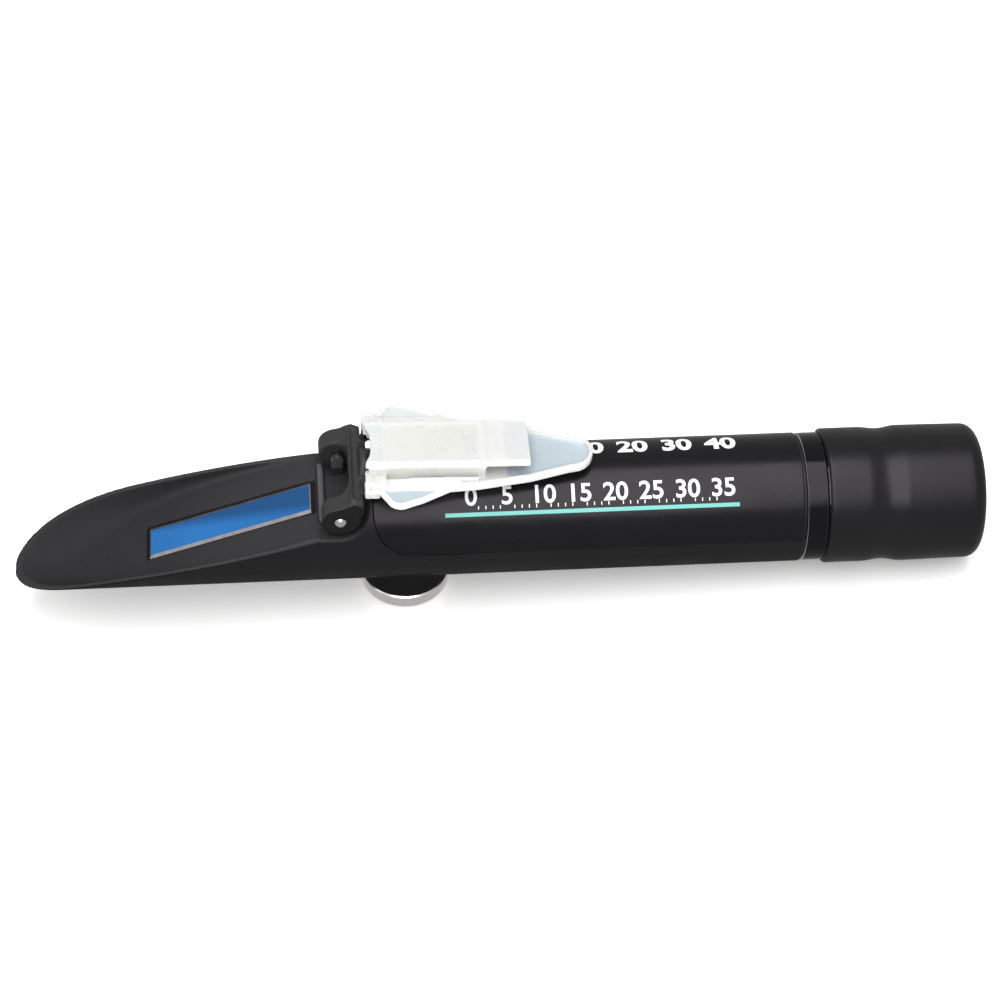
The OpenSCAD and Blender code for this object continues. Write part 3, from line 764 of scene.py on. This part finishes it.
v, f = nets(bracket, steps((-65.2, -51.5, 0.2)), steps((-12, 12, 0.2)), steps((5.6, 18.6, 0.2)), 2)
yoke = make("bracket_body", relax(v, f), f, "bracket")
dress(yoke, ("bracket", "ear"), "bracket_plastic", "hinge_bracket")
# painted shade: the outer faces of the ears take a darker copy of the bracket plastic
paint(yoke, np.abs(centres(yoke)[:, 1]) > EAR_OUT - 0.2)

# ---------------------------------------------------------------- daylight plate
RIM_TOP, PAD = 18.6, 21.6  # tops of the rim and of the contact pad
WEB = RIM_TOP - 2.2  # underside
TIP_R = 4.6
TIP_X = LINK_X + 45.95 - TIP_R  # middle of the rounded tip


def mirror(pts):
    return pts + [(x, -y) for x, y in pts[::-1] if abs(y) > 1e-6]


TRAY = mirror(
    [(LINK_X - 1.2, 9.4), (LINK_X + 16.4, 9.4), (LINK_X + 22.1, 8.9), (LINK_X + 32.6, 7.1)]
    + [(TIP_X - 0.6, 4.75)]
    + arc(TIP_X, 0, TIP_R, 72, 0, 8)
)
WING = (
    [(LINK_X + 1.4, 7), (LINK_X + 1.4, 10.3)] + arc(LINK_X + 5.8, 11.65, 3.0, 155, 62, 8)
    + [(LINK_X + 10.6, 13.0), (LINK_X + 16.6, 9.9), (LINK_X + 18.6, 8.9), (LINK_X + 18.6, 7)]
)


def level(x, z):
    """From the frame into the plate's own frame, in which its rim lies level."""
    c, s = math.cos(PLATE_LEAN), math.sin(PLATE_LEAN)
    u, w = x - LINK_X, z - LINK_Z
    return LINK_X + u * c - w * s, LINK_Z + u * s + w * c


def plate(x, y, z):
    x, z = level(x, z)
    ay = np.abs(y)
    tray_edge = poly(x, y, TRAY)
    wing_edge = poly(x, ay, WING)
    tray = smax(tray_edge, slab(z, WEB, RIM_TOP), 0.45)
    hollow = smax(tray_edge + 0.8, WEB + 0.8 - z, 0.6)
    d = smax(tray, -hollow, 0.3)
    d = smax(d, -box(x, y, z, (LINK_X - 4, -8.2, WEB - 1), (LINK_X + 2.2, 8.2, WEB + 5)), 0.25)
    wing = smax(wing_edge, slab(z, RIM_TOP - 1.3, RIM_TOP), 0.45)
    pan = smax(smax(wing_edge + 1.1, RIM_TOP - 0.5 - z, 0.3), 10.0 - ay, 0.3)
    d = smin(d, smax(wing, -pan, 0.3), 0.3)
    root = box(x, ay, z, (LINK_X - 1.2, 8.2, LINK_Z - 1.2), (LINK_X + 1.9, 9.7, RIM_TOP))
    d = smin(d, root, 0.3)
    flange = box(x, ay, z, (LINK_X - 1.2, 8.2, RIM_TOP - 0.6), (LINK_X + 1.5, 11.0, RIM_TOP + 0.4))
    side = box(x, ay, z, (LINK_X + 2.2, 5.0, WEB + 0.4), (LINK_X + 23.4, 6.0, PAD))
    end = box(x, y, z, (LINK_X + 22.4, -6.0, WEB + 0.4), (LINK_X + 23.4, 6.0, PAD))
    top = box(x, y, z, (LINK_X + 0.2, -6.0, PAD - 1.4), (LINK_X + 32.5, 6.0, PAD))
    edge = [
        (LINK_X - 1.1, 6.0), (LINK_X - 0.95, 4.9), (LINK_X - 0.3, 3.6), (LINK_X + 0.1, 2.0),
        (LINK_X + 0.2, -0.1), (LINK_X + 3, -0.1), (LINK_X + 3, 6.0),
    ]
    horn = smax(poly(x, ay, edge), slab(z, PAD - 1.4, PAD), 0.3)
    brace = box(x, ay, z, (LINK_X - 0.3, 5.0, RIM_TOP - 1.3), (LINK_X + 2.7, 6.0, PAD))
    bridge = box(x, ay, z, (LINK_X - 1.1, 5.2, RIM_TOP - 0.3), (LINK_X + 3.2, 9.4, RIM_TOP + 0.5))
    rib = box(x, ay, z, (LINK_X + 8, 6.8, WEB + 0.4), (LINK_X + 22, 7.6, RIM_TOP))
    for part in (flange, side, end, top, horn, brace, bridge, rib):
        d = smin(d, part, 0.35)
    dimple = np.hypot(x - (LINK_X + 0.1), ay - 10.0) - 0.4
    d = smax(d, -smax(dimple, RIM_TOP - 0.1 - z, 0.1), 0.15)
    knuckle = smax(np.hypot(x - LINK_X, z - LINK_Z) - 1.7, slab(ay, 6.1, 8.2), 0.2)
    return smax(d, -knuckle, 0.2)


v, f = nets(plate, steps((-56.2, -7.2, 0.25)), steps((-15.3, 15.3, 0.25)), steps((14.4, 22.4, 0.22)), 3)
moulding = make("plate_moulding", relax(v, f, 2), f, "plate")
dress(moulding, ("plate", "thin", "pale_show_through", "wall"), "plate_milky", "daylight_plate")
# The real plate is one clear plastic. These regions are painted with the tones it shows from its side because
# of what lies behind it: bluish where the black barrel is behind it, as at the near wing, and whiter at the
# far wing, over white.
mid = centres(moulding)
px, pz = level(mid[:, 0], mid[:, 2])
py = np.abs(mid[:, 1])
side_y = mid[:, 1]
top = pz > PAD - 0.2
floor_of_tip = (px > -26.2) & (poly(px, side_y, TRAY) < -0.75) & (pz < WEB + 0.95)
groove = (px > -46.0) & (px < -32.2) & (py > 5.9) & (py < 6.9) & (pz < RIM_TOP - 0.9) & (pz > WEB + 0.3)
pan = (poly(px, py, WING) < -0.95) & (py > 10.1) & (pz < RIM_TOP - 0.3)
thin = floor_of_tip | groove | pan & (side_y < 0)
root_top = (px < -51.4) & (py < 4.8) & top
pad_end = (px > -26.8) & (px < -21.9) & (py < 5.2) & top
# painted shade: a small darker patch on the pad, where something beneath shows through
pad_patch = (px > -35.0 - 0.1 * side_y) & (px < -32.8 - 0.1 * side_y) & (side_y < 2.0) & (side_y > -3.2) & top
pale_show_through = root_top | pad_end | pad_patch | pan & (side_y > 0)
# painted highlight: the upright walls take a lighter copy of the plate's plastic
wall = (np.abs(per_face(moulding, "normal")[:, 1]) > 0.55) & ~thin & ~pale_show_through
paint(moulding, thin * 1 + pale_show_through * 2 + wall * 3)

# ---------------------------------------------------------------- eyepiece
X0, X1 = float(CUP[0][0]), float(CUP[1][0])
flare, waist, grip = 14.15, 13.75, 14.3


def ease(t):
    return (1 - math.cos(math.pi * t)) / 2


turns = np.linspace(0.3, math.pi / 2, 5)
cup = [(X0, 12.4), (X0, flare - 0.5)]
cup += [(X0 + 0.5 - 0.5 * math.cos(t), flare - 0.5 + 0.5 * math.sin(t)) for t in turns]
cup += [(x, flare) for x in np.linspace(X0 + 1.2, X0 + 8, 8)]
cup += [(X0 + 8 + 4.4 * t, flare + (waist - flare) * ease(t)) for t in np.linspace(0.06, 1, 14)]
cup += [(X0 + 12.4 + 4.2 * t, waist + (grip - waist) * ease(t)) for t in np.linspace(0.06, 1, 14)]
cup += [(X0 + 16.6 + (X1 - 3.0 - X0 - 16.6) * t, grip - 0.15 * t) for t in np.linspace(0.05, 1, 14)]
turns = np.linspace(0.1, math.pi / 2, 14)
cup += [(X1 - 3.0 + 3.0 * math.sin(t), grip - 3.15 + 3.0 * math.cos(t)) for t in turns]
cup += [(X1, 10.6), (X1 - 0.17, 10.17), (X1 - 0.6, 10.0)]
cup += [(X1 - 4.3, 10.0), (X1 - 4.5, 10.2), (X1 - 4.5, 12.4)]
dress(lathe("eyecup_sleeve", cup, "focus_sleeve", seg=192), "rubber", "eyecup_rubber", "rubber_eyecup")


# ---------------------------------------------------------------- generic scale on the cover
def wrap_text(name, body_text, size, x, phi, bold):
    """White figures laid on the cover, phi degrees towards the front from its top."""
    cu = bpy.data.curves.new(name, "FONT")
    cu.body = body_text
    cu.size = size
    cu.align_x = "CENTER"
    cu.align_y = "CENTER"
    cu.extrude = 0.02
    cu.offset = bold
    cu.resolution_u = 6
    o = bpy.data.objects.new(name, cu)
    bpy.context.scene.collection.objects.link(o)
    bpy.context.view_layer.update()
    me = bpy.data.meshes.new_from_object(o.evaluated_get(bpy.context.evaluated_depsgraph_get()))
    bpy.data.objects.remove(o)
    # cut into short rows, so that the figures follow the curve of the barrel
    b = bmesh.new()
    b.from_mesh(me)
    for y in np.arange(-size, size, 0.35):
        every = b.verts[:] + b.edges[:] + b.faces[:]
        bmesh.ops.bisect_plane(b, geom=every, dist=1e-3, plane_co=(0, y, 0), plane_no=(0, 1, 0))
    bmesh.ops.remove_doubles(b, verts=b.verts, dist=1e-4)
    bmesh.ops.triangulate(b, faces=b.faces[:])
    b.to_mesh(me)
    b.free()
    pts = [(x + v.co.x, phi, v.co.y, v.co.z) for v in me.vertices]
    polys = [list(p.vertices) for p in me.polygons]
    bpy.data.meshes.remove(me)
    return pts, polys


def print_piece():
    verts, faces = [], []

    def put(pts, polys):
        base = len(verts)
        for px, phi, py, pz in pts:
            a = math.radians(phi) - py / BODY
            r = BODY + 0.03 + pz
            verts.append((px, -r * math.sin(a), r * math.cos(a)))
        faces.extend([[base + i for i in p] for p in polys])

    def bar(px, phi, w, h):
        n = max(2, int(h / 0.5) + 1)
        pts, polys = [], []
        for k in range(n):
            for sx in (-1, 1):
                for sz in (-1, 1):
                    pts.append((px + sx * w / 2, phi, -h / 2 + h * k / (n - 1), sz * 0.02))
        for k in range(n - 1):
            a, b = 4 * k, 4 * k + 4
            polys += [[a, a + 1, b + 1, b], [a + 2, b + 2, b + 3, a + 3]]
            polys += [[a, b, b + 2, a + 2], [a + 1, a + 3, b + 3, b + 1]]
        e = 4 * (n - 1)
        polys += [[0, 2, 3, 1], [e, e + 1, e + 3, e + 2]]
        put(pts, polys)

    # two rows of plain figures, with four ticks between the numbers of the lower one
    first, pitch = -33.6, 7.45
    rows = [(str(5 * i), 5.3, first + pitch * i, 31.0, 0.09) for i in range(8)]
    rows += [(str(10 * i), 6.4, -8.5 + 9.2 * (i - 1), -19.0, 0.23) for i in range(1, 5)]
    for label, size, x, phi, bold in rows:
        put(*wrap_text("figure", label, size, x, phi, bold))
    for i in range(7):
        for k in range(1, 5):
            bar(first + pitch * (i + k / 5), 40.3, 0.2, 0.7)
    return make("scale_print", verts, faces, "housing", smooth=False)


dress(print_piece(), "print", "stripe_print")


def stripe_piece():
    """The printed coloured line, standing a hair out of the cover."""
    lo, hi = mm("accent_stripe")
    mid_a = math.radians(46)
    half = 0.42 / BODY
    xs = np.linspace(lo[0], hi[0], 90)
    ring = [(BODY + 0.03, a) for a in np.linspace(mid_a - half, mid_a + half, 5)]
    ring += [(BODY - 0.25, a) for a in np.linspace(mid_a + half, mid_a - half, 5)]
    n = len(ring)
    verts = [(x, -r * math.sin(a), r * math.cos(a)) for x in xs for r, a in ring]
    faces = [
        [i * n + k, i * n + (k + 1) % n, (i + 1) * n + (k + 1) % n, (i + 1) * n + k]
        for i in range(len(xs) - 1)
        for k in range(n)
    ]
    faces += [list(range(n))[::-1], [(len(xs) - 1) * n + k for k in range(n)]]
    o = make("stripe_line", verts, faces, "housing", smooth=False)
    face_outwards(o)
    return o


dress(stripe_piece(), "stripe", "stripe_print", "accent_stripe")

# ---------------------------------------------------------------- stage
# the object rests on the rim of its knob and on the rear of its eyepiece, so the floor slopes under it
LOW_X, LOW_Z = KNOB_X + 8.7, -20.5
REAR_X, REAR_Z = 72, -14.05
slope = math.atan((REAR_Z - LOW_Z) / (REAR_X - LOW_X))
bm = bmesh.new()
bmesh.ops.create_grid(bm, x_segments=8, y_segments=8, size=3.0)
me = bpy.data.meshes.new("floor")
bm.to_mesh(me)
bm.free()
floor = bpy.data.objects.new("floor", me)
bpy.context.scene.collection.objects.link(floor)
floor.matrix_world = Matrix.Translation((LOW_X * MM, 0, -20.55 * MM)) @ Matrix.Rotation(-slope, 4, "Y")
table = mat("floor_white", (0.93, 0.93, 0.93), 0.7, spec=0.2, tint=0.004, bump=0.0)
# The floor glows faintly and is hidden from glossy reflections. Both are there to match the photo,
# with its white floor and dark lower sides.
shader(table).inputs["Emission Color"].default_value = (1.0, 0.98, 0.965, 1)
shader(table).inputs["Emission Strength"].default_value = 0.19
floor.data.materials.append(table)
floor.visible_glossy = False

# the camera that was fitted to the photo: direction, roll, the point it looks at, distance and lens
az, el, roll = math.radians(-6.199), math.radians(48.729), math.radians(2.455)
AIM, DISTANCE, LENS = Vector((-0.026835, 0, 0.002466)), 0.62211, 107.372
back = Vector((math.sin(az) * math.cos(el), -math.cos(az) * math.cos(el), math.sin(el)))
right = Vector((math.cos(az), math.sin(az), 0))
up = back.cross(right)
right, up = right * math.cos(roll) + up * math.sin(roll), up * math.cos(roll) - right * math.sin(roll)
cam_data = bpy.data.cameras.new("camera")
cam = bpy.data.objects.new("camera", cam_data)
bpy.context.scene.collection.objects.link(cam)
spot = AIM + back * DISTANCE
cam.matrix_world = Matrix([[right[i], up[i], back[i], spot[i]] for i in range(3)] + [[0, 0, 0, 1]])
cam_data.sensor_width = 36
cam_data.lens = LENS
cam_data.clip_start = 0.02
bpy.context.scene.camera = cam


def light(name, azim, elev, dist, size, power, size_y=None):
    """An area light that faces the object. Azimuth 0 is in front of it and turns towards +x."""
    d = bpy.data.lights.new(name, "AREA")
    d.shape = "RECTANGLE"
    d.size, d.size_y = size, size_y or size
    d.energy = power
    o = bpy.data.objects.new(name, d)
    bpy.context.scene.collection.objects.link(o)
    a, e = math.radians(azim), math.radians(elev)
    n = Vector((math.sin(a) * math.cos(e), -math.cos(a) * math.cos(e), math.sin(e)))
    o.location = n * dist + Vector((-0.02, 0, 0))
    o.rotation_euler = n.to_track_quat("Z", "Y").to_euler()


light("key", -6, 71, 0.75, 0.6, 9.6, 1.35)
light("fill", -80, 35, 0.9, 0.5, 1.0)
world = bpy.data.worlds.new("studio")
world.use_nodes = True
sky = world.node_tree.nodes["Background"]
sky.inputs["Color"].default_value = (1, 1, 1, 1)
sky.inputs["Strength"].default_value = 0.5
bpy.context.scene.world = world
bpy.context.scene.view_settings.view_transform = "Standard"
bpy.context.scene.view_settings.gamma = 0.87
